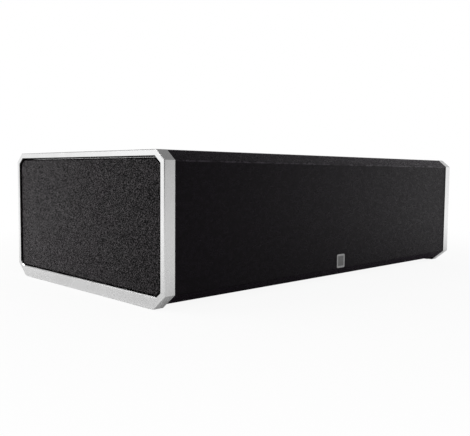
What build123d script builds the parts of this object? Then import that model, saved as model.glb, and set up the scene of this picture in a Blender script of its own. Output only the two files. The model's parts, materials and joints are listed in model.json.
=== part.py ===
from build123d import *
import math
import os

# Center channel speaker: a long low cabinet wrapped in cloth, closed at each end by a metal
# frame of eight sides. X runs along its width, the front faces -Y and Z is up. The origin is
# on the surface it stands on, under its middle. All sizes are in millimetres.

# The body seen end-on, and the whole
overall_width = 669
overall_depth = 366
body_height = 180.8
chamfer_run = 15
chamfer_rise = 12.3
lower_chamfer_rise = 13.1
foot_drop = 5.2
pad_thickness = 1

# End frames, and the panels that lie in them
frame_thickness = 15.5
rim_width = 8.3
sill_rise = 2.1
flange_reach = 9
flange_thickness = 3.5
rim_edge_break = 0.9
lip_break = 1.2
panel_recess = 2
panel_gap = 1
panel_edge_break = 1.5
pad_width = 9
pad_length = 34
pad_inset = 28

# Screws that hold the end frames
screw_radius = 1.8
screw_head_radius = 3.4
screw_head_angle = 90
screw_length = 14
screw_fit = 0.05
screw_setback = 60

# Cloth, and the frame that holds it clear of the drivers
cloth_inset = 0.5
cloth_thickness = 1
grille_depth = 16
rail_gap = 1
upright_width = 18
upright_offset = 66

# Boards
board_thickness = 15
baffle_thickness = 18
brace_thickness = 15
brace_offset = 84
brace_rail = 26
brace_corner = 8

# Woofers: heights are in front of the face that the basket seats on
woofer_offset = 150
woofer_cutout_radius = 60
basket_clearance = 1
basket_flange_radius = 68
basket_flange_thickness = 3.5
basket_mouth_radius = 56
basket_depth = 36
basket_throat_radius = 46
basket_bore_radius = 20
basket_wall = 2
basket_window_margin = 1
basket_window_top = 5
basket_window_bottom = 31
basket_rib_width = 12
basket_rib_count = 6
cone_radius = 46
cone_depth = 21.5
cone_wall = 1.2
cone_rim = 2.2
cap_rise = 5
surround_land = 4
surround_lap = 2
surround_rise = 3.6
surround_wall = 1.2
coil_radius = 13.3
coil_wall = 0.6
coil_length = 29
coil_gap = 1
spider_radius = 40
spider_wall = 1
spider_height = 9
glue_gap = 0.3
top_plate_radius = 40
top_plate_thickness = 5
magnet_radius = 42
magnet_bore_radius = 22
magnet_thickness = 15
yoke_radius = 39
yoke_thickness = 5

# Tweeter
faceplate_radius = 50
faceplate_thickness = 4
horn_radius = 22
horn_throat_radius = 15
tweeter_cutout_radius = 38
dome_radius = 12.9
dome_rise = 3.1
dome_wall = 0.5
dome_lift = 0.5
former_length = 3
tweeter_coil_gap = 0.7
tweeter_pole_drop = 2
tweeter_plate_radius = 34
tweeter_plate_thickness = 4
tweeter_magnet_radius = 35
tweeter_magnet_bore_radius = 18
tweeter_magnet_thickness = 12
tweeter_yoke_thickness = 5
tweeter_surround_radius = 14.8
tweeter_surround_thickness = 0.4

# Terminal cup and its binding posts
cup_width = 96
cup_height = 70
cup_corner = 6
cup_flange_thickness = 3.6
cup_flange_proud = 0.5
well_width = 76
well_height = 50
well_depth = 29
cup_wall = 2.5
fit_gap = 0.3
post_spacing = 19
post_radius = 3
post_length = 21
post_tail = 9
post_fit = 0.1
plug_bore_radius = 2
plug_bore_depth = 14
nut_radius = 6.5
nut_length = 13
nut_standoff = 4
nut_fit = 0.05
nut_flute_radius = 1.1
nut_flute_count = 10
collar_radius = 6

# Port
port_offset = 165
port_radius = 30
port_flare = 6
port_wall = 2.5
port_length = 120
port_flange_radius = 43

# Crossover, on the floor behind the tweeter
crossover_width = 150
crossover_depth = 90
crossover_thickness = 4
crossover_setback = 60
inductor_radius = 19
inductor_bore_radius = 8
inductor_height = 17
inductor_spacing = 88
capacitor_radius = 8
capacitor_length = 34
capacitor_count = 3
capacitor_pitch = 20

# Wadding under the top board, behind the woofers
lining_thickness = 25
lining_side_gap = 9
lining_back_gap = 12
lining_front_gap = 93

# Badge, left bare
badge_width = 19
badge_height = 20.5
badge_thickness = 0.5
badge_edge_break = 0.2
badge_lift = 0.3

# Heights and depths worked out from the sizes above
body_bottom = pad_thickness + foot_drop
body_top = body_bottom + body_height
half_depth = overall_depth / 2
half_length = overall_width / 2 - frame_thickness
inner_half_length = half_length - board_thickness
core_inset = cloth_inset + cloth_thickness
core_bottom = body_bottom + core_inset
core_top = body_top - core_inset
core_front = core_inset - half_depth
core_back = half_depth - core_inset
baffle_front = core_front + grille_depth
baffle_back = baffle_front + baffle_thickness
back_inner = core_back - board_thickness
floor_top = core_bottom + board_thickness
ceiling = core_top - board_thickness
driver_height = (floor_top + ceiling) / 2
rail_bottom = driver_height - basket_flange_radius - rail_gap
rail_top = driver_height + basket_flange_radius + rail_gap
cloth_back = half_depth - cloth_inset
cup_face = cloth_back + cup_flange_proud
sides = {"left": -1, "right": 1}


def save(part, name):
    """Label a finished piece and write it under its name."""
    part.label = name
    export_step(part, f"parts/{name}.step")


def foot_half_depth(drop):
    """Half the depth of the outline's underside where the lower chamfers carry it down by drop.

    All four chamfers have the same slope.
    """
    return half_depth - (lower_chamfer_rise + drop) * chamfer_run / chamfer_rise


def end_outline(inset=0, drop=0):
    """The body's eight-sided outline, in depth and height, shrunk by inset.

    drop carries its foot lower along the lines of the lower chamfers, or higher where it is negative.
    """
    foot = foot_half_depth(drop)
    with BuildSketch() as outline:
        with BuildLine():
            Polyline(
                (chamfer_run - half_depth, body_top),
                (half_depth - chamfer_run, body_top),
                (half_depth, body_top - chamfer_rise),
                (half_depth, body_bottom + lower_chamfer_rise),
                (foot, body_bottom - drop),
                (-foot, body_bottom - drop),
                (-half_depth, body_bottom + lower_chamfer_rise),
                (-half_depth, body_top - chamfer_rise),
                close=True,
            )
        make_face()
        if inset:
            offset(amount=-inset, kind=Kind.INTERSECTION)
    return outline.sketch


def board_section(front, back, low, high):
    """A board's section: what the cloth's core holds between two depths and two heights."""
    with BuildSketch() as section:
        add(end_outline(core_inset))
        with Locations(((front + back) / 2, (low + high) / 2)):
            Rectangle(back - front, high - low, mode=Mode.INTERSECT)
    return section.sketch


def facing_front(depth):
    """The upright plane at a depth, whose normal points to the front."""
    return Plane.XZ.offset(-depth)


def seat_at(across, depth, height, normal):
    """The plane that a round piece seats on, its normal along the piece's axis."""
    return Plane(origin=(across, depth, height), x_dir=(1, 0, 0), z_dir=normal)


def screw_seats(side):
    """Where one end frame's screws seat: planes on its flange that face outwards."""
    across = side * (half_length + flange_thickness)
    edge = rim_width + flange_reach / 2
    reach = half_depth - screw_setback
    return [
        Plane(origin=(across, depth, height), x_dir=(0, 1, 0), z_dir=(side, 0, 0))
        for depth in (-reach, reach)
        for height in (body_bottom + sill_rise + edge, body_top - edge)
    ]


def half_plane(seat):
    """The plane through a seat's axis: radius along x, height in front of the seat along y."""
    return Plane(origin=seat.origin, x_dir=seat.x_dir, z_dir=seat.x_dir.cross(seat.z_dir))


def half_section(points):
    """A half-section with straight edges: radius along x, height along y."""
    with BuildSketch() as section:
        with BuildLine():
            Polyline(points, close=True)
        make_face()
    return section.sketch


def ring_section(outer, bore, low, high):
    """The half-section of a plain ring between two heights."""
    return half_section([(bore, low), (outer, low), (outer, high), (bore, high)])


def yoke_section(radius, pole_radius, low, high, pole_top):
    """The half-section of a yoke: a round plate between two heights, with a pole on it."""
    return half_section(
        [
            (0, low),
            (radius, low),
            (radius, high),
            (pole_radius, high),
            (pole_radius, pole_top),
            (0, pole_top),
        ]
    )


def turn(seat, section):
    """Turn a half-section about a seat's axis, as a solid of the piece in whose block it is called."""
    with BuildSketch(half_plane(seat)) as placed:
        add(section)
    revolve(placed.sketch, axis=Axis(seat.origin, seat.z_dir))


os.makedirs("parts", exist_ok=True)

# Cabinet boards. The front baffle and the back board run the full height of the core, with the
# top and bottom boards between them, and the end boards close the box.
with BuildPart() as top_board:
    with BuildSketch(Plane.YZ):
        add(board_section(baffle_back, back_inner, ceiling, core_top))
    extrude(amount=inner_half_length, both=True)
save(top_board.part, "top_board")

with BuildPart() as bottom_board:
    with BuildSketch(Plane.YZ):
        add(board_section(baffle_back, back_inner, core_bottom, floor_top))
    extrude(amount=inner_half_length, both=True)
save(bottom_board.part, "bottom_board")

with BuildPart() as front_baffle:
    with BuildSketch(Plane.YZ):
        add(board_section(baffle_front, baffle_back, core_bottom, core_top))
    extrude(amount=inner_half_length, both=True)
    with BuildSketch(facing_front(baffle_front)):
        with Locations(*[(side * woofer_offset, driver_height) for side in sides.values()]):
            Circle(woofer_cutout_radius)
        with Locations((0, driver_height)):
            Circle(tweeter_cutout_radius)
    extrude(amount=-baffle_thickness, mode=Mode.SUBTRACT)
save(front_baffle.part, "front_baffle")

with BuildPart() as back_board:
    with BuildSketch(Plane.YZ):
        add(board_section(back_inner, core_back, core_bottom, core_top))
    extrude(amount=inner_half_length, both=True)
    with BuildSketch(facing_front(back_inner)):
        with Locations((0, driver_height)):
            Rectangle(well_width + 2 * (cup_wall + fit_gap), well_height + 2 * (cup_wall + fit_gap))
        with Locations((port_offset, driver_height)):
            Circle(port_radius + port_wall + fit_gap)
    extrude(amount=-board_thickness, mode=Mode.SUBTRACT)
    with BuildSketch(facing_front(cup_face - cup_flange_thickness)):
        with Locations((0, driver_height)):
            RectangleRounded(cup_width + 2 * fit_gap, cup_height + 2 * fit_gap, cup_corner + fit_gap)
        with Locations((port_offset, driver_height)):
            Circle(port_flange_radius + fit_gap)
    extrude(amount=-cup_flange_thickness, mode=Mode.SUBTRACT)
save(back_board.part, "back_board")

for name, side in sides.items():
    with BuildPart() as end_board:
        with BuildSketch(Plane.YZ.offset(side * inner_half_length)):
            add(board_section(baffle_front, core_back, core_bottom, core_top))
        extrude(amount=side * board_thickness)
        for seat in screw_seats(side):
            with BuildSketch(seat):
                Circle(screw_radius + screw_fit)
        extrude(amount=-screw_length - screw_fit, mode=Mode.SUBTRACT)
    save(end_board.part, f"end_board_{name}")

# Braces on both sides of the tweeter, open in the middle
for name, side in sides.items():
    with BuildPart() as brace:
        with BuildSketch(Plane.YZ.offset(side * brace_offset)):
            with Locations(((baffle_back + back_inner) / 2, driver_height)):
                Rectangle(back_inner - baffle_back, ceiling - floor_top)
                RectangleRounded(
                    back_inner - baffle_back - 2 * brace_rail,
                    ceiling - floor_top - 2 * brace_rail,
                    brace_corner,
                    mode=Mode.SUBTRACT,
                )
        extrude(amount=brace_thickness / 2, both=True)
    save(brace.part, f"brace_{name}")

# The frame in front of the baffle, which carries the cloth clear of the drivers: a rail above
# them, one below, and uprights between the rails at the ends and beside the tweeter
for name, (low, high) in {"bottom": (core_bottom, rail_bottom), "top": (rail_top, core_top)}.items():
    with BuildPart() as grille_rail:
        with BuildSketch(Plane.YZ):
            add(board_section(core_front, baffle_front, low, high))
        extrude(amount=half_length, both=True)
    save(grille_rail.part, f"grille_rail_{name}")

with BuildPart() as grille_uprights:
    for side in sides.values():
        for across in (upright_offset, half_length - upright_width / 2):
            with BuildSketch(Plane.YZ.offset(side * across)):
                add(board_section(core_front, baffle_front, rail_bottom, rail_top))
            extrude(amount=upright_width / 2, both=True)
save(grille_uprights.part, "grille_uprights")

# Cloth drawn round the whole body, cut out at the back for the cup and the port
with BuildPart() as grille_cloth:
    with BuildSketch(Plane.YZ):
        add(end_outline(cloth_inset))
        add(end_outline(core_inset), mode=Mode.SUBTRACT)
    extrude(amount=half_length, both=True)
    with BuildSketch(facing_front(core_back)):
        with Locations((0, driver_height)):
            RectangleRounded(cup_width + 2 * fit_gap, cup_height + 2 * fit_gap, cup_corner + fit_gap)
        with Locations((port_offset, driver_height)):
            Circle(port_flange_radius + fit_gap)
    extrude(amount=-cloth_thickness, mode=Mode.SUBTRACT)
save(grille_cloth.part, "grille_cloth")

# End frames: a rim round a panel, and behind the panel a flange that is screwed to the end
# board. The rim reaches lower than the body, is higher below the panel than above it, and is
# what the speaker stands on.
for name, side in sides.items():
    with BuildPart() as end_frame:
        with BuildSketch(Plane.YZ.offset(side * half_length)):
            add(end_outline(0, foot_drop))
        extrude(amount=side * frame_thickness)
        with BuildSketch(Plane.YZ.offset(side * (half_length + flange_thickness))):
            add(end_outline(rim_width, -sill_rise))
        extrude(amount=side * (frame_thickness - flange_thickness), mode=Mode.SUBTRACT)
        with BuildSketch(Plane.YZ.offset(side * half_length)):
            add(end_outline(rim_width + flange_reach, -sill_rise))
        extrude(amount=side * flange_thickness, mode=Mode.SUBTRACT)
        outer_face = end_frame.faces().sort_by(Axis.X)[-1 if side > 0 else 0]
        chamfer(outer_face.outer_wire().edges(), rim_edge_break)
        outer_face = end_frame.faces().sort_by(Axis.X)[-1 if side > 0 else 0]
        chamfer(outer_face.inner_wires()[0].edges(), lip_break)
        with Locations(*screw_seats(side)):
            CounterSinkHole(
                radius=screw_radius + screw_fit,
                counter_sink_radius=screw_head_radius + screw_fit,
                depth=flange_thickness,
                counter_sink_angle=screw_head_angle,
            )
    save(end_frame.part, f"end_frame_{name}")

    with BuildPart() as end_panel:
        with BuildSketch(Plane.YZ.offset(side * (half_length + flange_thickness))):
            add(end_outline(rim_width + panel_gap, -sill_rise))
        extrude(amount=side * (frame_thickness - flange_thickness - panel_recess))
        outer_face = end_panel.faces().sort_by(Axis.X)[-1 if side > 0 else 0]
        chamfer(outer_face.edges(), panel_edge_break)
    save(end_panel.part, f"end_panel_{name}")

# Countersunk screws in the flanges, all alike
screw_head_height = (screw_head_radius - screw_radius) / math.tan(math.radians(screw_head_angle / 2))
screw_section = half_section(
    [
        (0, 0),
        (screw_head_radius, 0),
        (screw_radius, -screw_head_height),
        (screw_radius, -screw_length),
        (0, -screw_length),
    ]
)
with BuildPart() as frame_screws:
    for side in sides.values():
        for seat in screw_seats(side):
            turn(seat, screw_section)
save(frame_screws.part, "frame_screws")

# Rubber pads under the frames
pad_reach = foot_half_depth(foot_drop) - pad_inset
pad_places = [
    (side * (half_length + frame_thickness / 2), depth)
    for side in sides.values()
    for depth in (-pad_reach, pad_reach)
]
with BuildPart() as foot_pads:
    with BuildSketch(Plane.XY):
        with Locations(*pad_places):
            Rectangle(pad_width, pad_length)
    extrude(amount=pad_thickness)
save(foot_pads.part, "foot_pads")

# Badge on the cloth, just above the lower chamfer
with BuildPart() as badge_plate:
    with BuildSketch(facing_front(cloth_inset - half_depth)):
        with Locations((0, body_bottom + lower_chamfer_rise + badge_lift + badge_height / 2)):
            Rectangle(badge_width, badge_height)
    extrude(amount=badge_thickness)
    chamfer(badge_plate.faces().sort_by(Axis.Y)[0].edges(), badge_edge_break)
save(badge_plate.part, "badge_plate")

# Woofers, both alike. The fixed pieces of the pair share their nodes.
woofer_seats = {
    name: seat_at(side * woofer_offset, baffle_front, driver_height, (0, -1, 0))
    for name, side in sides.items()
}
tweeter_seat = seat_at(0, baffle_front, driver_height, (0, -1, 0))
tub_radius = woofer_cutout_radius - basket_clearance
rim = basket_flange_thickness
basket_section = half_section(
    [
        (basket_mouth_radius, rim),
        (basket_flange_radius, rim),
        (basket_flange_radius, 0),
        (tub_radius, 0),
        (basket_throat_radius, -basket_depth),
        (basket_bore_radius, -basket_depth),
        (basket_bore_radius, basket_wall - basket_depth),
        (basket_throat_radius - basket_wall, basket_wall - basket_depth),
    ]
)
with BuildPart() as woofer_baskets:
    for seat in woofer_seats.values():
        turn(seat, basket_section)
        with BuildSketch(seat.offset(-basket_window_top)):
            Circle(tub_radius - basket_window_margin)
            Circle(basket_throat_radius + basket_window_margin, mode=Mode.SUBTRACT)
            with PolarLocations(0, basket_rib_count // 2, angular_range=180):
                Rectangle(2 * tub_radius, basket_rib_width, mode=Mode.SUBTRACT)
        extrude(amount=basket_window_top - basket_window_bottom, mode=Mode.SUBTRACT)
save(woofer_baskets.part, "woofer_baskets")

# Each cone has its dust cap moulded in, and carries its coil at its neck
cone_bottom = rim - cone_depth
cap_edge = coil_radius + cone_rim
cap_edge_height = rim - (cone_radius - cone_rim - cap_edge) * cone_depth / (cone_radius - coil_radius)
with BuildSketch() as cone_section:
    with BuildLine():
        cap_front = TangentArc(
            (0, cone_bottom + cap_rise + cone_wall),
            (cap_edge, cap_edge_height),
            tangent=(1, 0),
        )
        cap_back = TangentArc(
            (0, cone_bottom + cap_rise),
            (coil_radius - coil_wall, cone_bottom),
            tangent=(1, 0),
        )
        Polyline(
            cap_front @ 1,
            (cone_radius - cone_rim, rim),
            (cone_radius, rim),
            (coil_radius, cone_bottom),
            cap_back @ 1,
        )
        Line(cap_front @ 0, cap_back @ 0)
    make_face()
coil_section = ring_section(coil_radius, coil_radius - coil_wall, cone_bottom - coil_length, cone_bottom)
for name, seat in woofer_seats.items():
    with BuildPart() as woofer_cone:
        turn(seat, cone_section.sketch)
    save(woofer_cone.part, f"woofer_cone_{name}")

    with BuildPart() as voice_coil:
        turn(seat, coil_section)
    save(voice_coil.part, f"voice_coil_{name}")

# Surrounds: a half-round roll between each cone and its basket, and a flat ring for the dome
with BuildSketch() as surround_section:
    with BuildLine():
        roll_front = SagittaArc(
            (cone_radius, rim + surround_wall),
            (basket_mouth_radius, rim + surround_wall),
            surround_rise,
        )
        roll_back = SagittaArc(
            (cone_radius + surround_wall, rim),
            (basket_mouth_radius - surround_wall, rim),
            surround_rise,
        )
        Polyline(
            roll_front @ 0,
            (cone_radius - surround_lap, rim + surround_wall),
            (cone_radius - surround_lap, rim),
            roll_back @ 0,
        )
        Polyline(
            roll_front @ 1,
            (basket_mouth_radius + surround_land, rim + surround_wall),
            (basket_mouth_radius + surround_land, rim),
            roll_back @ 1,
        )
    make_face()
with BuildPart() as driver_surrounds:
    for seat in woofer_seats.values():
        turn(seat, surround_section.sketch)
    turn(
        tweeter_seat,
        ring_section(tweeter_surround_radius, dome_radius + glue_gap, 0, tweeter_surround_thickness),
    )
save(driver_surrounds.part, "driver_surrounds")

spider_floor = basket_wall - basket_depth
spider_top = spider_floor + spider_height
spider_section = half_section(
    [
        (spider_radius, spider_floor),
        (spider_radius, spider_top),
        (coil_radius + glue_gap, spider_top),
        (coil_radius + glue_gap, spider_top - spider_wall),
        (spider_radius - spider_wall, spider_top - spider_wall),
        (spider_radius - spider_wall, spider_floor),
    ]
)
with BuildPart() as woofer_spiders:
    for seat in woofer_seats.values():
        turn(seat, spider_section)
save(woofer_spiders.part, "woofer_spiders")

# Motors: a top plate, a ring magnet and a yoke with its pole, behind each driver
plate_back = -basket_depth - top_plate_thickness
magnet_back = plate_back - magnet_thickness
tweeter_plate_back = -tweeter_plate_thickness
tweeter_magnet_back = tweeter_plate_back - tweeter_magnet_thickness

with BuildPart() as driver_top_plates:
    for seat in woofer_seats.values():
        turn(seat, ring_section(top_plate_radius, coil_radius + coil_gap, plate_back, -basket_depth))
    turn(
        tweeter_seat,
        ring_section(tweeter_plate_radius, dome_radius + tweeter_coil_gap, tweeter_plate_back, 0),
    )
save(driver_top_plates.part, "driver_top_plates")

with BuildPart() as driver_magnets:
    for seat in woofer_seats.values():
        turn(seat, ring_section(magnet_radius, magnet_bore_radius, magnet_back, plate_back))
    turn(
        tweeter_seat,
        ring_section(
            tweeter_magnet_radius,
            tweeter_magnet_bore_radius,
            tweeter_magnet_back,
            tweeter_plate_back,
        ),
    )
save(driver_magnets.part, "driver_magnets")

woofer_pole_radius = coil_radius - coil_wall - coil_gap
tweeter_pole_radius = dome_radius - dome_wall - tweeter_coil_gap
with BuildPart() as driver_yokes:
    for seat in woofer_seats.values():
        turn(
            seat,
            yoke_section(
                yoke_radius,
                woofer_pole_radius,
                magnet_back - yoke_thickness,
                magnet_back,
                -basket_depth,
            ),
        )
    turn(
        tweeter_seat,
        yoke_section(
            tweeter_plate_radius,
            tweeter_pole_radius,
            tweeter_magnet_back - tweeter_yoke_thickness,
            tweeter_magnet_back,
            -tweeter_pole_drop,
        ),
    )
save(driver_yokes.part, "driver_yokes")

# Tweeter faceplate with its short horn, and the dome with its coil former
with BuildPart() as tweeter_faceplate:
    turn(
        tweeter_seat,
        half_section(
            [
                (horn_throat_radius, 0),
                (faceplate_radius, 0),
                (faceplate_radius, faceplate_thickness),
                (horn_radius, faceplate_thickness),
            ]
        ),
    )
save(tweeter_faceplate.part, "tweeter_faceplate")

with BuildSketch() as dome_section:
    with BuildLine():
        dome_front = TangentArc(
            (0, dome_lift + dome_rise),
            (dome_radius, dome_lift),
            tangent=(1, 0),
        )
        dome_back = TangentArc(
            (0, dome_lift + dome_rise - dome_wall),
            (dome_radius - dome_wall, dome_lift - dome_wall),
            tangent=(1, 0),
        )
        Polyline(
            dome_front @ 1,
            (dome_radius, dome_lift - former_length),
            (dome_radius - dome_wall, dome_lift - former_length),
            dome_back @ 1,
        )
        Line(dome_front @ 0, dome_back @ 0)
    make_face()
with BuildPart() as tweeter_dome:
    turn(tweeter_seat, dome_section.sketch)
save(tweeter_dome.part, "tweeter_dome")

# Terminal cup: a moulded well with a flange let into the back board
well_floor = cup_face - well_depth
with BuildPart() as terminal_cup:
    with BuildSketch(facing_front(cup_face)):
        with Locations((0, driver_height)):
            RectangleRounded(cup_width, cup_height, cup_corner)
    extrude(amount=cup_flange_thickness)
    with BuildSketch(facing_front(cup_face)):
        with Locations((0, driver_height)):
            Rectangle(well_width + 2 * cup_wall, well_height + 2 * cup_wall)
    extrude(amount=well_depth + cup_wall)
    with BuildSketch(facing_front(cup_face)):
        with Locations((0, driver_height)):
            Rectangle(well_width, well_height)
    extrude(amount=well_depth, mode=Mode.SUBTRACT)
    with BuildSketch(facing_front(well_floor)):
        with Locations((-post_spacing / 2, driver_height), (post_spacing / 2, driver_height)):
            Circle(post_radius + post_fit)
    extrude(amount=cup_wall, mode=Mode.SUBTRACT)
save(terminal_cup.part, "terminal_cup")

# Binding posts through the well's floor, each with a collar, a plug socket in its end and a nut
post_seats = {
    "red": seat_at(-post_spacing / 2, well_floor, driver_height, (0, 1, 0)),
    "black": seat_at(post_spacing / 2, well_floor, driver_height, (0, 1, 0)),
}
post_section = half_section(
    [
        (0, -cup_wall - post_tail),
        (post_radius, -cup_wall - post_tail),
        (post_radius, 0),
        (collar_radius, 0),
        (collar_radius, nut_standoff),
        (post_radius, nut_standoff),
        (post_radius, post_length),
        (plug_bore_radius, post_length),
        (plug_bore_radius, post_length - plug_bore_depth),
        (0, post_length - plug_bore_depth),
    ]
)
with BuildPart() as terminal_posts:
    for seat in post_seats.values():
        turn(seat, post_section)
save(terminal_posts.part, "terminal_posts")

nut_section = ring_section(nut_radius, post_radius + nut_fit, nut_standoff, nut_standoff + nut_length)
for name, seat in post_seats.items():
    with BuildPart() as terminal_nut:
        turn(seat, nut_section)
        with BuildSketch(seat.offset(nut_standoff)):
            with PolarLocations(nut_radius, nut_flute_count):
                Circle(nut_flute_radius)
        extrude(amount=nut_length, mode=Mode.SUBTRACT)
    save(terminal_nut.part, f"terminal_nut_{name}")

# Port: a tube with a rounded mouth, its flange let into the back board
with BuildSketch() as port_section:
    with BuildLine():
        flare = TangentArc(
            (port_radius, -port_flare),
            (port_radius + port_flare, 0),
            tangent=(0, 1),
        )
        Polyline(
            flare @ 1,
            (port_flange_radius, 0),
            (port_flange_radius, -cup_flange_thickness),
            (port_radius + port_wall, -cup_flange_thickness),
            (port_radius + port_wall, -port_length),
            (port_radius, -port_length),
            flare @ 0,
        )
    make_face()
with BuildPart() as port_tube:
    turn(seat_at(port_offset, cup_face, driver_height, (0, 1, 0)), port_section.sketch)
save(port_tube.part, "port_tube")

# Crossover on the floor: a board with two air-core inductors and a row of capacitors
crossover_depth_centre = back_inner - crossover_setback - crossover_depth / 2
crossover_top = floor_top + crossover_thickness
with BuildPart() as crossover_board:
    with BuildSketch(Plane.XY.offset(floor_top)):
        with Locations((0, crossover_depth_centre)):
            Rectangle(crossover_width, crossover_depth)
    extrude(amount=crossover_thickness)
save(crossover_board.part, "crossover_board")

inductor_depth = crossover_depth_centre - crossover_depth / 2 + inductor_radius + glue_gap
inductor_section = ring_section(inductor_radius, inductor_bore_radius, 0, inductor_height)
with BuildPart() as crossover_coils:
    for side in sides.values():
        turn(
            seat_at(side * inductor_spacing / 2, inductor_depth, crossover_top, (0, 0, 1)),
            inductor_section,
        )
save(crossover_coils.part, "crossover_coils")

capacitor_depth = crossover_depth_centre + crossover_depth / 2 - capacitor_length / 2 - capacitor_radius
with BuildPart() as crossover_capacitors:
    with BuildSketch(facing_front(capacitor_depth)):
        with Locations((0, crossover_top + capacitor_radius)):
            with GridLocations(capacitor_pitch, 1, capacitor_count, 1):
                Circle(capacitor_radius)
    extrude(amount=capacitor_length / 2, both=True)
save(crossover_capacitors.part, "crossover_capacitors")

# Lining: two pads of wadding under the top board, one between each brace and its end board
bay_start = brace_offset + brace_thickness / 2
bay_centre = (bay_start + inner_half_length) / 2
lining_front = baffle_back + lining_front_gap
lining_back = back_inner - lining_back_gap
lining_places = [(side * bay_centre, (lining_front + lining_back) / 2) for side in sides.values()]
with BuildPart() as lining_pads:
    with BuildSketch(Plane.XY.offset(ceiling)):
        with Locations(*lining_places):
            Rectangle(inner_half_length - bay_start - 2 * lining_side_gap, lining_back - lining_front)
    extrude(amount=-lining_thickness)
save(lining_pads.part, "lining_pads")
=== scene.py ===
import json
import math

import bmesh
import bpy
from mathutils import Matrix, Vector, noise


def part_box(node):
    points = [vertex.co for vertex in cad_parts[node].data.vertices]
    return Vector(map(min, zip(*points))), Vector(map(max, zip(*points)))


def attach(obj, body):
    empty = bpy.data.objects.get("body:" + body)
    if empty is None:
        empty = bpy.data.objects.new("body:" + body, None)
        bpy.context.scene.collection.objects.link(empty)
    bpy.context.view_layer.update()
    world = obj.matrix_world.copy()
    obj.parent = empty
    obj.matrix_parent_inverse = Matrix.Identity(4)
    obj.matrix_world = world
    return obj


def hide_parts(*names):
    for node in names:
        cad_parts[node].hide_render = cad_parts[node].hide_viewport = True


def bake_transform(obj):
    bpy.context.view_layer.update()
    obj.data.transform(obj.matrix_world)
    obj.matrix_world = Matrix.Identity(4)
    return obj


# A center channel speaker seen from its front left, on a white floor. Lengths are in metres.
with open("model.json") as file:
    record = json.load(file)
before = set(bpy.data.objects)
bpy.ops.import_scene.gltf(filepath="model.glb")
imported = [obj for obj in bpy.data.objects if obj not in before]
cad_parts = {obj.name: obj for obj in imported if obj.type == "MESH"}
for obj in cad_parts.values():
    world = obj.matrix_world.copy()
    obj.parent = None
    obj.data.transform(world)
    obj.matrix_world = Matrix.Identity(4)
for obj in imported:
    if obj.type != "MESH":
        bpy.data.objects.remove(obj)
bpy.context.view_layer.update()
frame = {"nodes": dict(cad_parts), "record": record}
nodes = frame["nodes"]
record = frame["record"]
cloth_low, cloth_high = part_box("grille_cloth")
badge_low, badge_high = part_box("badge_plate")
cup_low, cup_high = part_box("terminal_cup")
frame_low, frame_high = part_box("end_frame_left")

# Camera, as fitted to the photograph
image_width = 470
camera_place = (-0.7657, -0.7392, 0.1608)
camera_yaw = math.radians(44.268)
camera_pitch = math.radians(4.146)
camera_roll = math.radians(0.506)
focal_pixels = 623.8
sensor_width = 36

# Points closer than this are one point
weld_distance = 0.00001

# Cloth: the pitch and relief of its threads, the width of a bend, how far the sleeve is drawn out
# above and below, the angle from which an edge is a fold, and the angle from which it stays sharp
weave_pitch = 0.0011
weave_depth = 0.0003
cloth_bend = 0.0016
cloth_proud = 0.00045
fold_angle = math.radians(17)
sharp_angle = math.radians(60)

# The upper fold of the cloth: the highest corner of its front
upper_fold = max(
    vertex.co.z
    for vertex in nodes["grille_cloth"].data.vertices
    if vertex.co.y < cloth_low[1] + weld_distance
)

# Widths of the small rounded edges
metal_edge = 0.0001
moulded_edge = 0.0003
badge_edge = 0.00015


# Shader building
def new_material(name, colour, roughness, metallic=0.0, **sockets):
    """A material whose plain values sit on the shader's own sockets."""
    material = bpy.data.materials.new(name)
    material.use_nodes = True
    shader = material.node_tree.nodes["Principled BSDF"]
    shader.inputs["Base Color"].default_value = (*colour, 1)
    shader.inputs["Roughness"].default_value = roughness
    shader.inputs["Metallic"].default_value = metallic
    for socket, value in sockets.items():
        shader.inputs[socket.replace("_", " ").title()].default_value = value
    return material, shader


def add(tree, kind, **settings):
    """A new node with its settings."""
    node = tree.nodes.new(kind)
    for name, value in settings.items():
        setattr(node, name, value)
    return node


def plug(tree, value, socket):
    """Set a socket to a number or a vector, or link it to another node's output."""
    if isinstance(value, (int, float, tuple)):
        socket.default_value = value
    else:
        tree.links.new(value, socket)


def calculate(tree, operation, *values):
    """The output of a math node."""
    node = add(tree, "ShaderNodeMath", operation=operation)
    for value, socket in zip(values, node.inputs):
        plug(tree, value, socket)
    return node.outputs[0]


def product(tree, value, *others):
    """The product of several values."""
    for other in others:
        value = calculate(tree, "MULTIPLY", value, other)
    return value


def vector_math(tree, operation, *values):
    """A vector math node."""
    node = add(tree, "ShaderNodeVectorMath", operation=operation)
    for value, socket in zip(values, node.inputs):
        plug(tree, value, socket)
    return node


def parts_of(tree, vector):
    """The X, Y and Z outputs of a vector."""
    node = add(tree, "ShaderNodeSeparateXYZ")
    tree.links.new(vector, node.inputs[0])
    return node.outputs


def coordinate(tree, name):
    """One of the texture coordinates."""
    return add(tree, "ShaderNodeTexCoord").outputs[name]


def true_normal(tree):
    """The direction that a face points in, without its bump."""
    return add(tree, "ShaderNodeNewGeometry").outputs["True Normal"]


def spread(tree, value, low, high, new_low, new_high):
    """Value carried smoothly from one range to another, held at its ends."""
    node = add(tree, "ShaderNodeMapRange", interpolation_type="SMOOTHSTEP")
    for item, socket in zip((value, low, high, new_low, new_high), node.inputs):
        plug(tree, item, socket)
    return node.outputs[0]


def noise_field(tree, scale, detail=3.0, stretch=(1, 1, 1)):
    """Noise in the piece's own space, its scale in waves a metre."""
    mapping = add(tree, "ShaderNodeMapping")
    mapping.inputs["Scale"].default_value = stretch
    tree.links.new(coordinate(tree, "Object"), mapping.inputs["Vector"])
    field = add(tree, "ShaderNodeTexNoise")
    field.inputs["Scale"].default_value = scale
    field.inputs["Detail"].default_value = detail
    tree.links.new(mapping.outputs[0], field.inputs["Vector"])
    return field.outputs["Fac"]


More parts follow.
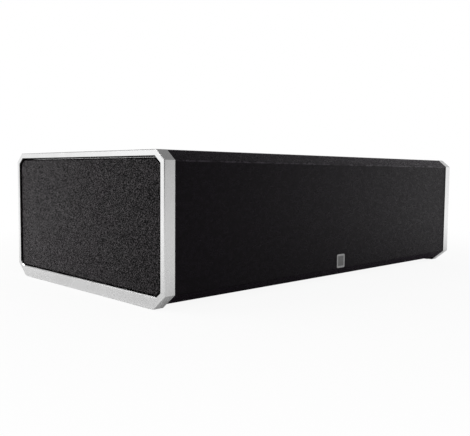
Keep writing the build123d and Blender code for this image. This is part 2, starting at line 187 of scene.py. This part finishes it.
def colours(tree, factor, *stops):
    """A colour ramp through stops of position and colour."""
    node = add(tree, "ShaderNodeValToRGB")
    ramp = node.color_ramp
    while len(ramp.elements) < len(stops):
        ramp.elements.new(1.0)
    for element, (position, colour) in zip(ramp.elements, stops):
        element.position = position
        element.color = (*colour, 1)
    tree.links.new(factor, node.inputs["Fac"])
    return node.outputs["Color"]


def raise_surface(tree, shader, height, distance, strength=1.0):
    """Bump from a height between 0 and 1."""
    node = add(tree, "ShaderNodeBump")
    node.inputs["Distance"].default_value = distance
    node.inputs["Strength"].default_value = strength
    tree.links.new(height, node.inputs["Height"])
    tree.links.new(node.outputs[0], shader.inputs["Normal"])


def mottled(name, dark, light, scale, roughness, grain, metallic=0.0, stretch=(1, 1, 1), **sockets):
    """A finish whose colour, roughness and fine relief vary with one noise field."""
    low, high = roughness
    material, shader = new_material(name, light, high, metallic, **sockets)
    tree = material.node_tree
    field = noise_field(tree, scale, stretch=stretch)
    tree.links.new(colours(tree, field, (0.3, dark), (0.7, light)), shader.inputs["Base Color"])
    tree.links.new(spread(tree, field, 0.3, 0.7, low, high), shader.inputs["Roughness"])
    raise_surface(tree, shader, field, grain)
    return material


def grey(value):
    """A neutral colour."""
    return (value, value, value)


# Finishes
def painted_fold_highlight(tree):
    """Where a painted highlight lies: 1 along the fold between the cloth's front and its upper slope, 0
    away from it.
    """
    bright_within = 0.0007
    gone_beyond = 0.0016
    fold = (0, cloth_low[1], upper_fold)
    offset = vector_math(tree, "SUBTRACT", coordinate(tree, "Object"), fold).outputs["Vector"]
    across = vector_math(tree, "MULTIPLY", offset, (0, 1, 1)).outputs["Vector"]
    distance = vector_math(tree, "LENGTH", across).outputs["Value"]
    return spread(tree, distance, bright_within, gone_beyond, 1.0, 0.0)


def cloth_finish():
    """Black plain weave: warp and weft threads that pass over one another."""
    material, shader = new_material("cloth", grey(0.003), 0.3, sheen_weight=0.06, sheen_roughness=0.3)
    shader.inputs["Sheen Tint"].default_value = (0.9, 0.55, 1.0, 1)
    shader.inputs["Specular Tint"].default_value = (1.0, 0.86, 1.0, 1)
    tree = material.node_tree

    # Threads: one half wave each, warp and weft on top by turns
    along = parts_of(tree, coordinate(tree, "UV"))
    turn = math.pi / weave_pitch
    warp = calculate(tree, "SINE", product(tree, along["X"], turn))
    weft = calculate(tree, "SINE", product(tree, along["Y"], turn))
    over = calculate(tree, "MULTIPLY_ADD", product(tree, warp, weft), 0.5, 0.5)
    under = calculate(tree, "SUBTRACT", 1.0, over)
    warp_height = product(tree, calculate(tree, "ABSOLUTE", warp), over)
    weft_height = product(tree, calculate(tree, "ABSOLUTE", weft), under)
    height = calculate(tree, "MAXIMUM", warp_height, weft_height)

    # Uneven yarn: fine fibres, and slubs drawn out along the speaker
    fibres = noise_field(tree, 900, detail=4)
    slubs = noise_field(tree, 260, detail=2, stretch=(0.6, 1, 1))
    fibre_tone = spread(tree, fibres, 0.3, 0.7, 0.6, 1.0)
    slub_tone = spread(tree, slubs, 0.38, 0.62, 0.35, 1.0)
    # A painted highlight along the upper fold, broken up by the slubs, lightens the thread colour and
    # raises the gloss
    painted_highlight = product(tree, painted_fold_highlight(tree), spread(tree, slubs, 0.4, 0.6, 0.3, 1.0))
    tone = calculate(tree, "MULTIPLY_ADD", painted_highlight, 0.8, product(tree, height, fibre_tone, slub_tone))
    thread = colours(
        tree,
        product(tree, tone, 0.5),
        (0.0, grey(0.0004)),
        (0.27, (0.0032, 0.0024, 0.0038)),
        (0.5, (0.0125, 0.0098, 0.0145)),
        (0.9, (0.0400, 0.0380, 0.0430)),
    )
    tree.links.new(thread, shader.inputs["Base Color"])
    tree.links.new(spread(tree, slubs, 0.35, 0.65, 0.36, 0.26), shader.inputs["Roughness"])

    # Gloss, with painted shade and a painted highlight: little where the cloth faces down, somewhat less
    # where it faces up, most on the fold
    up = parts_of(tree, coordinate(tree, "Normal"))["Z"]
    gloss = product(
        tree,
        spread(tree, up, -0.7, -0.1, 0.005, 0.095),
        spread(tree, up, 0.4, 0.75, 1.0, 0.7),
        calculate(tree, "MULTIPLY_ADD", painted_highlight, 2.5, 1.0),
    )
    tree.links.new(gloss, shader.inputs["Specular IOR Level"])
    raise_surface(tree, shader, height, weave_depth, 0.4)
    return material


def frame_finish():
    """Satin cast aluminium with a fine grain, with painted shade in the recess and on the side to the
    body.
    """
    # Heights from the ring's middle between which the sill's bright metal gives way to the painted shade
    # of the recess
    sill_ends = -0.076
    painted_shade_starts = -0.0745
    material, shader = new_material("frame_metal", grey(0.95), 0.26, 1.0)
    tree = material.node_tree
    cloud = noise_field(tree, 28)
    normal = true_normal(tree)
    centre = (0, 0, (frame_low[2] + frame_high[2]) / 2)
    place = vector_math(tree, "SUBTRACT", coordinate(tree, "Object"), centre).outputs["Vector"]
    from_centre = parts_of(tree, place)

    # The recess, darkened as painted shade: faces turned to the ring's middle, but for the sill under the
    # panel
    across = vector_math(tree, "MULTIPLY", place, (0, 1, 1)).outputs["Vector"]
    outward = vector_math(tree, "DOT_PRODUCT", across, normal).outputs["Value"]
    inward = spread(tree, outward, -0.02, -0.01, 1.0, 0.0)
    above_sill = spread(tree, from_centre["Z"], sill_ends, painted_shade_starts, 0.0, 1.0)
    recess = product(tree, inward, above_sill)

    # The side to the body, darkened as painted shade: faces turned to the speaker's middle
    away = product(tree, parts_of(tree, normal)["X"], calculate(tree, "SIGN", from_centre["X"]))
    # Painted shade: the recess and the side to the body take a near-black metal colour
    dark = calculate(tree, "MAXIMUM", recess, spread(tree, away, -0.95, -0.8, 1.0, 0.0))
    tone = calculate(tree, "SUBTRACT", spread(tree, cloud, 0.3, 0.7, 0.94, 0.97), dark)
    tint = colours(tree, tone, (0.0, grey(0.025)), (1.0, grey(1.0)))
    tree.links.new(tint, shader.inputs["Base Color"])
    tree.links.new(spread(tree, cloud, 0.3, 0.7, 0.24, 0.28), shader.inputs["Roughness"])
    raise_surface(tree, shader, noise_field(tree, 2600, detail=2), 0.00002, 0.25)
    return material


def panel_finish():
    """Dark moulding with a pebbled grain and paler flecks, duller on its slanted edges."""
    material, shader = new_material("end_panel", grey(0.012), 0.3, sheen_roughness=0.3)
    shader.inputs["Sheen Tint"].default_value = (1.0, 0.92, 0.97, 1)
    tree = material.node_tree
    grain = noise_field(tree, 760, detail=3)
    cloud = noise_field(tree, 60)
    facing = calculate(tree, "ABSOLUTE", parts_of(tree, true_normal(tree))["X"])
    face_on = spread(tree, facing, 0.8, 0.95, 0.0, 1.0)
    flecks = calculate(tree, "MULTIPLY_ADD", cloud, 0.12, product(tree, grain, 0.9))
    tone = colours(
        tree,
        flecks,
        (0.44, grey(0.001)),
        (0.54, (0.004, 0.003, 0.004)),
        (0.66, (0.036, 0.028, 0.032)),
    )
    gloss = product(tree, spread(tree, grain, 0.44, 0.74, 0.01, 0.48), face_on)
    sheen = product(tree, spread(tree, grain, 0.41, 0.66, 0.3, 1.0), face_on)
    tree.links.new(tone, shader.inputs["Base Color"])
    tree.links.new(spread(tree, grain, 0.3, 0.7, 0.34, 0.24), shader.inputs["Roughness"])
    tree.links.new(gloss, shader.inputs["Specular IOR Level"])
    tree.links.new(sheen, shader.inputs["Sheen Weight"])
    raise_surface(tree, shader, grain, 0.0004)
    return material


def nut_finish(name, dark, light):
    """Glossy moulded plastic."""
    return mottled(name, dark, light, 260, (0.24, 0.32), 0.00001, coat_weight=0.3)


finishes = {
    "board": mottled("board", (0.24, 0.17, 0.10), (0.38, 0.28, 0.18), 420, (0.75, 0.9), 0.0002),
    "cloth": cloth_finish(),
    "frame_metal": frame_finish(),
    "end_panel": panel_finish(),
    "foot_rubber": mottled("foot_rubber", grey(0.012), grey(0.022), 900, (0.75, 0.9), 0.0001),
    "screw_steel": mottled("screw_steel", grey(0.42), grey(0.55), 500, (0.25, 0.4), 0.00002, 1.0),
    "badge_metal": mottled(
        "badge_metal", grey(0.38), grey(0.46), 900, (0.28, 0.38), 0.00001, 0.3, stretch=(0.05, 1, 1)
    ),
    "basket_metal": mottled("basket_metal", grey(0.015), grey(0.03), 1200, (0.45, 0.6), 0.00008),
    "surround_rubber": mottled("surround_rubber", grey(0.012), grey(0.02), 700, (0.5, 0.65), 0.00003),
    "spider_cloth": mottled(
        "spider_cloth", (0.42, 0.26, 0.08), (0.60, 0.42, 0.16), 1400, (0.7, 0.85), 0.0002
    ),
    "cone": mottled("cone", grey(0.018), grey(0.035), 500, (0.4, 0.55), 0.00008),
    "coil_wire": mottled(
        "coil_wire", (0.42, 0.16, 0.06), (0.62, 0.27, 0.12), 1600, (0.25, 0.4), 0.0001, 1.0, (0.1, 1, 1)
    ),
    "plate_steel": mottled("plate_steel", grey(0.38), grey(0.5), 600, (0.3, 0.45), 0.00003, 1.0),
    "magnet": mottled("magnet", grey(0.05), grey(0.085), 800, (0.6, 0.8), 0.00006),
    "faceplate": mottled("faceplate", grey(0.016), grey(0.026), 1500, (0.45, 0.6), 0.00004),
    "dome_metal": mottled("dome_metal", grey(0.66), grey(0.78), 300, (0.2, 0.3), 0.00001, 1.0),
    "cup_plastic": mottled("cup_plastic", grey(0.014), grey(0.026), 1300, (0.42, 0.58), 0.00006),
    "post_metal": mottled(
        "post_metal", (0.70, 0.48, 0.18), (0.86, 0.64, 0.28), 400, (0.18, 0.28), 0.00001, 1.0
    ),
    "nut_red": nut_finish("nut_red", (0.42, 0.008, 0.008), (0.55, 0.012, 0.010)),
    "nut_black": nut_finish("nut_black", grey(0.012), grey(0.022)),
    "crossover_panel": mottled(
        "crossover_panel", (0.16, 0.09, 0.04), (0.26, 0.16, 0.08), 300, (0.6, 0.75), 0.0001
    ),
    "capacitor_case": mottled(
        "capacitor_case", (0.55, 0.34, 0.04), (0.72, 0.48, 0.07), 200, (0.3, 0.4), 0.00002
    ),
    "wadding": mottled("wadding", grey(0.62), grey(0.86), 260, (0.9, 1.0), 0.002, sheen_weight=0.3),
}
slot_of = {entry["node"]: entry["material_slot"] for entry in record["subparts"]}
for name, node in nodes.items():
    node.data.materials.clear()
    node.data.materials.append(finishes[slot_of[name]])


# Piece building
def piece(name, bm, slot, body="cabinet"):
    """A finished piece from a bmesh, riding on a body or on none."""
    mesh = bpy.data.meshes.new(name)
    bm.to_mesh(mesh)
    bm.free()
    mesh.materials.append(finishes[slot])
    obj = bpy.data.objects.new(name, mesh)
    bpy.context.scene.collection.objects.link(obj)
    if body:
        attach(obj, body)
    return obj


def soften(obj, width, segments=2, angle=25):
    """Small rounded edges, with flat faces kept flat."""
    weld = obj.modifiers.new("weld", "WELD")
    weld.merge_threshold = weld_distance
    bevel = obj.modifiers.new("edges", "BEVEL")
    bevel.width = width
    bevel.segments = segments
    bevel.limit_method = "ANGLE"
    bevel.angle_limit = math.radians(angle)
    bevel.harden_normals = True


def welded_copy(node_name):
    """A bmesh of a node's mesh with its doubled points joined and its flat faces whole."""
    bm = bmesh.new()
    bm.from_mesh(nodes[node_name].data)
    bmesh.ops.remove_doubles(bm, verts=bm.verts, dist=weld_distance)
    bmesh.ops.dissolve_limit(bm, angle_limit=math.radians(1), verts=bm.verts[:], edges=bm.edges[:])
    return bm


def kept_points(node_name, kept):
    """A bmesh of the points of a node's mesh that a test keeps."""
    bm = bmesh.new()
    bm.from_mesh(nodes[node_name].data)
    others = [vertex for vertex in bm.verts if not kept(vertex.co)]
    bmesh.ops.delete(bm, geom=others, context="VERTS")
    return bm


# Cloth: the CAD sleeve with its long edges rounded where it bends over the boards
def is_fold(edge):
    """Whether an edge runs the sleeve's length between two faces at an angle."""
    most_of_length = 0.9 * (cloth_high[0] - cloth_low[0])
    reach = abs(edge.verts[0].co.x - edge.verts[1].co.x)
    return reach > most_of_length and len(edge.link_faces) == 2 and edge.calc_face_angle() > fold_angle


def outline_corners():
    """The sleeve's outer outline as (y, z) corners, from the lowest in front over the top to the back."""
    mesh = nodes["grille_cloth"].data
    end = [vertex.co for vertex in mesh.vertices if abs(vertex.co.x - cloth_high[0]) < weld_distance]
    middle = Vector(((cloth_low[1] + cloth_high[1]) / 2, (cloth_low[2] + cloth_high[2]) / 2))
    corners = {}
    for co in end:
        place = Vector((co.y, co.z))
        arm = place - middle
        key = round(math.atan2(arm.x, arm.y), 2)
        if key not in corners or arm.length > (corners[key] - middle).length:
            corners[key] = place
    return [corners[key] for key in sorted(corners)]


def arc_length(corners, y, z):
    """How far round the outline the point nearest to (y, z) lies, and the whole way round."""
    best = None
    travelled = 0.0
    point = Vector((y, z))
    for start, end in zip(corners, corners[1:] + corners[:1]):
        span = end - start
        share = min(max((point - start).dot(span) / span.length_squared, 0.0), 1.0)
        miss = (point - start - share * span).length
        if best is None or miss < best[0]:
            best = (miss, travelled + share * span.length)
        travelled += span.length
    return best[1], travelled


def fit_cloth(bm):
    """Draw the sleeve out a little above and below, as rounding its folds draws it in."""
    middle = (cloth_low[2] + cloth_high[2]) / 2
    half_height = (cloth_high[2] - cloth_low[2]) / 2
    for vertex in bm.verts:
        vertex.co.z += cloth_proud * (vertex.co.z - middle) / half_height


def sleeve():
    """The cloth as its own piece, its weave laid by UV in metres along and round the sleeve."""
    bm = welded_copy("grille_cloth")
    corners = outline_corners()
    girth = arc_length(corners, 0, 0)[1]
    fit_cloth(bm)
    folds = [edge for edge in bm.edges if is_fold(edge)]
    bmesh.ops.bevel(bm, geom=folds, offset=cloth_bend, segments=4, profile=0.5, affect="EDGES")
    for edge in bm.edges:
        edge.smooth = edge.calc_face_angle() < sharp_angle
    layer = bm.loops.layers.uv.new("weave")
    for face in bm.faces:
        face.smooth = True
        centre = face.calc_center_median()
        middle = arc_length(corners, centre.y, centre.z)[0]
        for loop in face.loops:
            round_place = arc_length(corners, loop.vert.co.y, loop.vert.co.z)[0]
            if round_place - middle > girth / 2:
                round_place -= girth
            if middle - round_place > girth / 2:
                round_place += girth
            loop[layer].uv = (loop.vert.co.x, round_place)
    obj = piece("cloth_sleeve", bm, "cloth")
    flat_normals = obj.modifiers.new("normals", "WEIGHTED_NORMAL")
    flat_normals.weight = 100
    flat_normals.keep_sharp = True
    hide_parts("grille_cloth")


sleeve()

# Rounded edges on the cast frames and on what is moulded
moulded = (
    "end_panel_left",
    "end_panel_right",
    "terminal_cup",
    "terminal_nut_red",
    "terminal_nut_black",
    "foot_pads",
)
for name in ("end_frame_left", "end_frame_right"):
    soften(nodes[name], metal_edge)
for name in moulded:
    soften(nodes[name], moulded_edge)


# Badge: a bare plate with a raised rim
def rounded_loop(bm, inset, radius, y, steps=6):
    """Vertices round the badge's outline, drawn in by a distance, with rounded corners."""
    left, right = badge_low[0] + inset + radius, badge_high[0] - inset - radius
    bottom, top = badge_low[2] + inset + radius, badge_high[2] - inset - radius
    loop = []
    for x, z, start in ((right, bottom, 270), (right, top, 0), (left, top, 90), (left, bottom, 180)):
        for step in range(steps + 1):
            angle = math.radians(start + 90 * step / steps)
            loop.append(bm.verts.new((x + radius * math.cos(angle), y, z + radius * math.sin(angle))))
    return loop


def badge():
    """The badge as its own piece, its field lower and darker than its rim."""
    rim = 0.0024
    recess = 0.00025
    radius = 0.0024
    inner_radius = 0.001
    front, back = badge_low[1], badge_high[1]
    bm = bmesh.new()
    loops = [
        rounded_loop(bm, 0, radius, back),
        rounded_loop(bm, 0, radius, front),
        rounded_loop(bm, rim, inner_radius, front),
        rounded_loop(bm, rim + recess, inner_radius, front + recess),
    ]
    for outer, inner in zip(loops, loops[1:]):
        for i in range(len(outer)):
            bm.faces.new((outer[i - 1], outer[i], inner[i], inner[i - 1]))
    bm.faces.new(loops[0])
    field = bm.faces.new(loops[-1])
    field.material_index = 1
    bmesh.ops.recalc_face_normals(bm, faces=bm.faces)
    obj = piece("badge", bm, "badge_metal")
    obj.data.materials.append(
        mottled("badge_field", grey(0.15), grey(0.21), 900, (0.4, 0.5), 0.00002, 0.3, (0.05, 1, 1))
    )
    soften(obj, badge_edge)
    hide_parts("badge_plate")


badge()


# Screws of the terminal cup
def cup_screws():
    """A low dome with a cross slot at each corner of the cup."""
    radius = 0.0026
    dome = 0.0003
    slot_half = 0.0004
    slot_reach = radius * 0.6
    depth = 0.001
    inset = 0.006
    back = cup_high[1]
    arm = [(slot_half, slot_half), (slot_half, slot_reach), (-slot_half, slot_reach)]
    cross = []
    for _ in range(4):
        cross += arm
        arm = [(-b, a) for a, b in arm]
    bm = bmesh.new()
    for x in (cup_low[0] + inset, cup_high[0] - inset):
        for z in (cup_low[2] + inset, cup_high[2] - inset):
            inner = [bm.verts.new((x + a, back + dome, z + b)) for a, b in cross]
            bottom = [bm.verts.new((x + a, back + dome - depth, z + b)) for a, b in cross]
            directions = [Vector(place).normalized() for place in cross]
            outer = [bm.verts.new((x + radius * d.x, back, z + radius * d.y)) for d in directions]
            for i in range(len(cross)):
                j = (i + 1) % len(cross)
                bm.faces.new((inner[i], inner[j], outer[j], outer[i]))
                bm.faces.new((inner[j], inner[i], bottom[i], bottom[j]))
            bm.faces.new(bottom)
    bmesh.ops.recalc_face_normals(bm, faces=bm.faces)
    piece("cup_screws", bm, "screw_steel")


cup_screws()


# Surrounds: each woofer's roll is split at its crest. The inner half moves with the cone, and the outer
# half rides on no body.
def roll_side(half_span, base, rise, steps=8):
    """One side of a circular arch, from its crest down, as distance from the crest's line and height."""
    radius = (half_span**2 + rise**2) / (2 * rise)
    reach = math.asin(half_span / radius)
    turns = [reach * i / steps for i in range(steps + 1)]
    return [(radius * math.sin(a), base + rise - radius + radius * math.cos(a)) for a in turns]


def turned_ring(name, outline, place, body, steps=96):
    """A ring from a closed outline of radii and heights, turned about an axis that faces the front."""
    crease = math.radians(40)
    bm = bmesh.new()
    rows = []
    for k in range(steps):
        a = math.tau * k / steps
        points = [(place.x + r * math.sin(a), place.y - h, place.z + r * math.cos(a)) for r, h in outline]
        rows.append([bm.verts.new(point) for point in points])
    for k, row in enumerate(rows):
        following = rows[(k + 1) % steps]
        for i in range(len(outline)):
            bm.faces.new((row[i - 1], row[i], following[i], following[i - 1]))
    bmesh.ops.recalc_face_normals(bm, faces=bm.faces)
    for face in bm.faces:
        face.smooth = True
    for edge in bm.edges:
        edge.smooth = edge.calc_face_angle(0) < crease
    return piece(name, bm, "surround_rubber", body)


def surrounds():
    """The woofers' surrounds in the sizes of their solids, and the tweeter's as it is."""
    cone_edge = 0.046
    mouth = 0.056
    land = 0.004
    lap = 0.002
    rise = 0.0036
    wall = 0.0012
    rim = 0.0035
    low, high = (Vector(corner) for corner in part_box("driver_surrounds"))
    crest = (cone_edge + mouth) / 2
    half_span = (mouth - cone_edge) / 2
    front = roll_side(half_span, rim + wall, rise)
    back = roll_side(half_span - wall, rim, rise)
    centre_x = high.x - mouth - land
    for side, x in (("left", -centre_x), ("right", centre_x)):
        place = Vector((x, high.y, (low.z + high.z) / 2))
        for half, sign, shelf, body in (("outer", 1, land, None), ("inner", -1, lap, f"woofer_{side}")):
            edge = half_span + shelf
            loop = front + [(edge, rim + wall), (edge, rim)] + back[::-1]
            outline = [(crest + sign * out, height) for out, height in loop]
            obj = turned_ring(f"surround_{side}_{half}", outline, place, body)
            if half == "outer":
                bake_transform(obj)
            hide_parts("driver_surrounds")
    bm = kept_points("driver_surrounds", lambda co: abs(co.x) <= centre_x / 2)
    obj = piece("surround_tweeter", bm, "surround_rubber")
    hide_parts("driver_surrounds")


surrounds()


# Spiders
def spiders():
    """Each spider as its own piece, riding on no body."""
    for side, sign in (("left", -1), ("right", 1)):
        bm = kept_points("woofer_spiders", lambda co: co.x * sign >= 0)
        obj = piece(f"spider_{side}", bm, "spider_cloth", None)
        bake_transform(obj)
        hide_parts("woofer_spiders")


spiders()


# Wadding
def wadding():
    """Each pad swells and thins unevenly about the space that its solid holds."""
    cell = 0.007
    lump_scale = 24
    roughness, growth, octaves = 0.6, 2.0, 4
    usual_share = 0.85
    swelling = 0.2
    wander_scale = 30
    wander = 0.004
    low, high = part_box("lining_pads")
    bm = welded_copy("lining_pads")
    bmesh.ops.triangulate(bm, faces=bm.faces)
    obj = piece("wadding", bm, "wadding")
    remesh = obj.modifiers.new("remesh", "REMESH")
    remesh.mode = "VOXEL"
    remesh.voxel_size = cell
    evaluated = obj.evaluated_get(bpy.context.evaluated_depsgraph_get())
    mesh = bpy.data.meshes.new_from_object(evaluated)
    obj.modifiers.clear()
    middle = (low[2] + high[2]) / 2
    for vertex in mesh.vertices:
        lump = noise.fractal(vertex.co * lump_scale, roughness, growth, octaves)
        share = usual_share + swelling * lump
        vertex.co.z = min(middle + (vertex.co.z - middle) * share, high[2])
        vertex.co.x -= wander * noise.noise(vertex.co * wander_scale) * math.copysign(1, vertex.co.x)
    obj.data = mesh
    mesh.polygons.foreach_set("use_smooth", [True] * len(mesh.polygons))
    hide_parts("lining_pads")


wadding()


# Floor and studio
def toward_front(tree, parts):
    """How far a place or direction lies to the front and a little to the left."""
    leftward, frontward = -0.4, -0.917
    return calculate(tree, "MULTIPLY_ADD", parts["Y"], frontward, product(tree, parts["X"], leftward))


def mirrored_ray(tree, path):
    """1 for what is seen in a mirror or through glass."""
    return calculate(tree, "MAXIMUM", path.outputs["Is Glossy Ray"], path.outputs["Is Transmission Ray"])


def floor():
    """A wide pale floor: white to the camera but for the shadow, and a glow to what mirrors it."""
    reach = 30
    corners = [(-reach, -reach, 0), (reach, -reach, 0), (reach, reach, 0), (-reach, reach, 0)]
    mesh = bpy.data.meshes.new("floor")
    mesh.from_pydata(corners, [], [(0, 1, 2, 3)])
    material, shader = new_material("floor", grey(0.76), 0.9)
    shader.inputs["Specular IOR Level"].default_value = 0.1
    tree = material.node_tree
    path = add(tree, "ShaderNodeLightPath")
    place = coordinate(tree, "Object")
    away = vector_math(tree, "LENGTH", place).outputs["Value"]
    parts = parts_of(tree, place)
    seen = product(tree, path.outputs["Is Camera Ray"], spread(tree, away, 0.3, 1.0, 0.92, 1.0))

    # The glow is faint round the speaker and in front of it, and weaker far behind it
    glow = product(
        tree,
        spread(tree, away, 0.4, 1.3, 0.1, 1.0),
        spread(tree, toward_front(tree, parts), 0.0, 0.9, 1.0, 0.2),
        spread(tree, parts["Y"], 0.55, 1.1, 1.0, 0.68),
    )
    reflected = product(tree, mirrored_ray(tree, path), glow)
    white = add(tree, "ShaderNodeEmission")
    blend = add(tree, "ShaderNodeMixShader")
    tree.links.new(calculate(tree, "MAXIMUM", seen, reflected), blend.inputs[0])
    tree.links.new(shader.outputs[0], blend.inputs[1])
    tree.links.new(white.outputs[0], blend.inputs[2])
    tree.links.new(blend.outputs[0], tree.nodes["Material Output"].inputs["Surface"])
    mesh.materials.append(material)
    obj = bpy.data.objects.new("floor", mesh)
    bpy.context.scene.collection.objects.link(obj)


floor()


def studio_world():
    """Plain soft light and a white background, with a shaped studio for what mirrors it."""
    plain = 0.5
    world = bpy.data.worlds.new("studio")
    bpy.context.scene.world = world
    world.use_nodes = True
    tree = world.node_tree
    background = tree.nodes["Background"]
    path = add(tree, "ShaderNodeLightPath")
    direction = parts_of(tree, coordinate(tree, "Generated"))

    # White at the horizon, and darker overhead, to the front, and straight ahead and behind
    studio = product(
        tree,
        spread(tree, direction["Z"], 0.15, 0.7, 1.0, 0.2),
        spread(tree, toward_front(tree, direction), -0.2, 0.8, 1.0, 0.15),
        spread(tree, calculate(tree, "ABSOLUTE", direction["X"]), 0.36, 0.58, 0.7, 1.0),
    )
    beyond_plain = calculate(tree, "SUBTRACT", studio, plain)
    unseen = calculate(tree, "MULTIPLY_ADD", mirrored_ray(tree, path), beyond_plain, plain)
    level = calculate(tree, "MAXIMUM", path.outputs["Is Camera Ray"], unseen)
    background.inputs["Color"].default_value = (1, 1, 1, 1)
    tree.links.new(level, background.inputs["Strength"])


studio_world()


def softbox(name, place, target, size, energy):
    """A rectangular area light that faces its target."""
    data = bpy.data.lights.new(name, "AREA")
    data.shape = "RECTANGLE"
    data.size, data.size_y = size
    data.energy = energy
    obj = bpy.data.objects.new(name, data)
    obj.location = place
    aim = Vector(target) - Vector(place)
    obj.rotation_euler = aim.to_track_quat("-Z", "Y").to_euler()
    bpy.context.scene.collection.objects.link(obj)


softbox("key", place=(-1.4, 0.9, 1.4), target=(-0.1, 0, 0.1), size=(1.4, 1.2), energy=18)
softbox("fill", place=(-0.2, -1.8, 1.8), target=(0, 0, 0.1), size=(1.6, 1.2), energy=8)

# Camera
camera_data = bpy.data.cameras.new("camera")
camera_data.sensor_width = sensor_width
camera_data.lens = focal_pixels / image_width * sensor_width
camera = bpy.data.objects.new("camera", camera_data)
view = Vector(
    (
        math.sin(camera_yaw) * math.cos(camera_pitch),
        math.cos(camera_yaw) * math.cos(camera_pitch),
        -math.sin(camera_pitch),
    )
)
aimed = view.to_track_quat("-Z", "Y").to_matrix().to_4x4()
camera.matrix_world = Matrix.Translation(camera_place) @ aimed @ Matrix.Rotation(camera_roll, 4, "Z")
bpy.context.scene.collection.objects.link(camera)
bpy.context.scene.camera = camera
bpy.context.scene.view_settings.view_transform = "Standard"
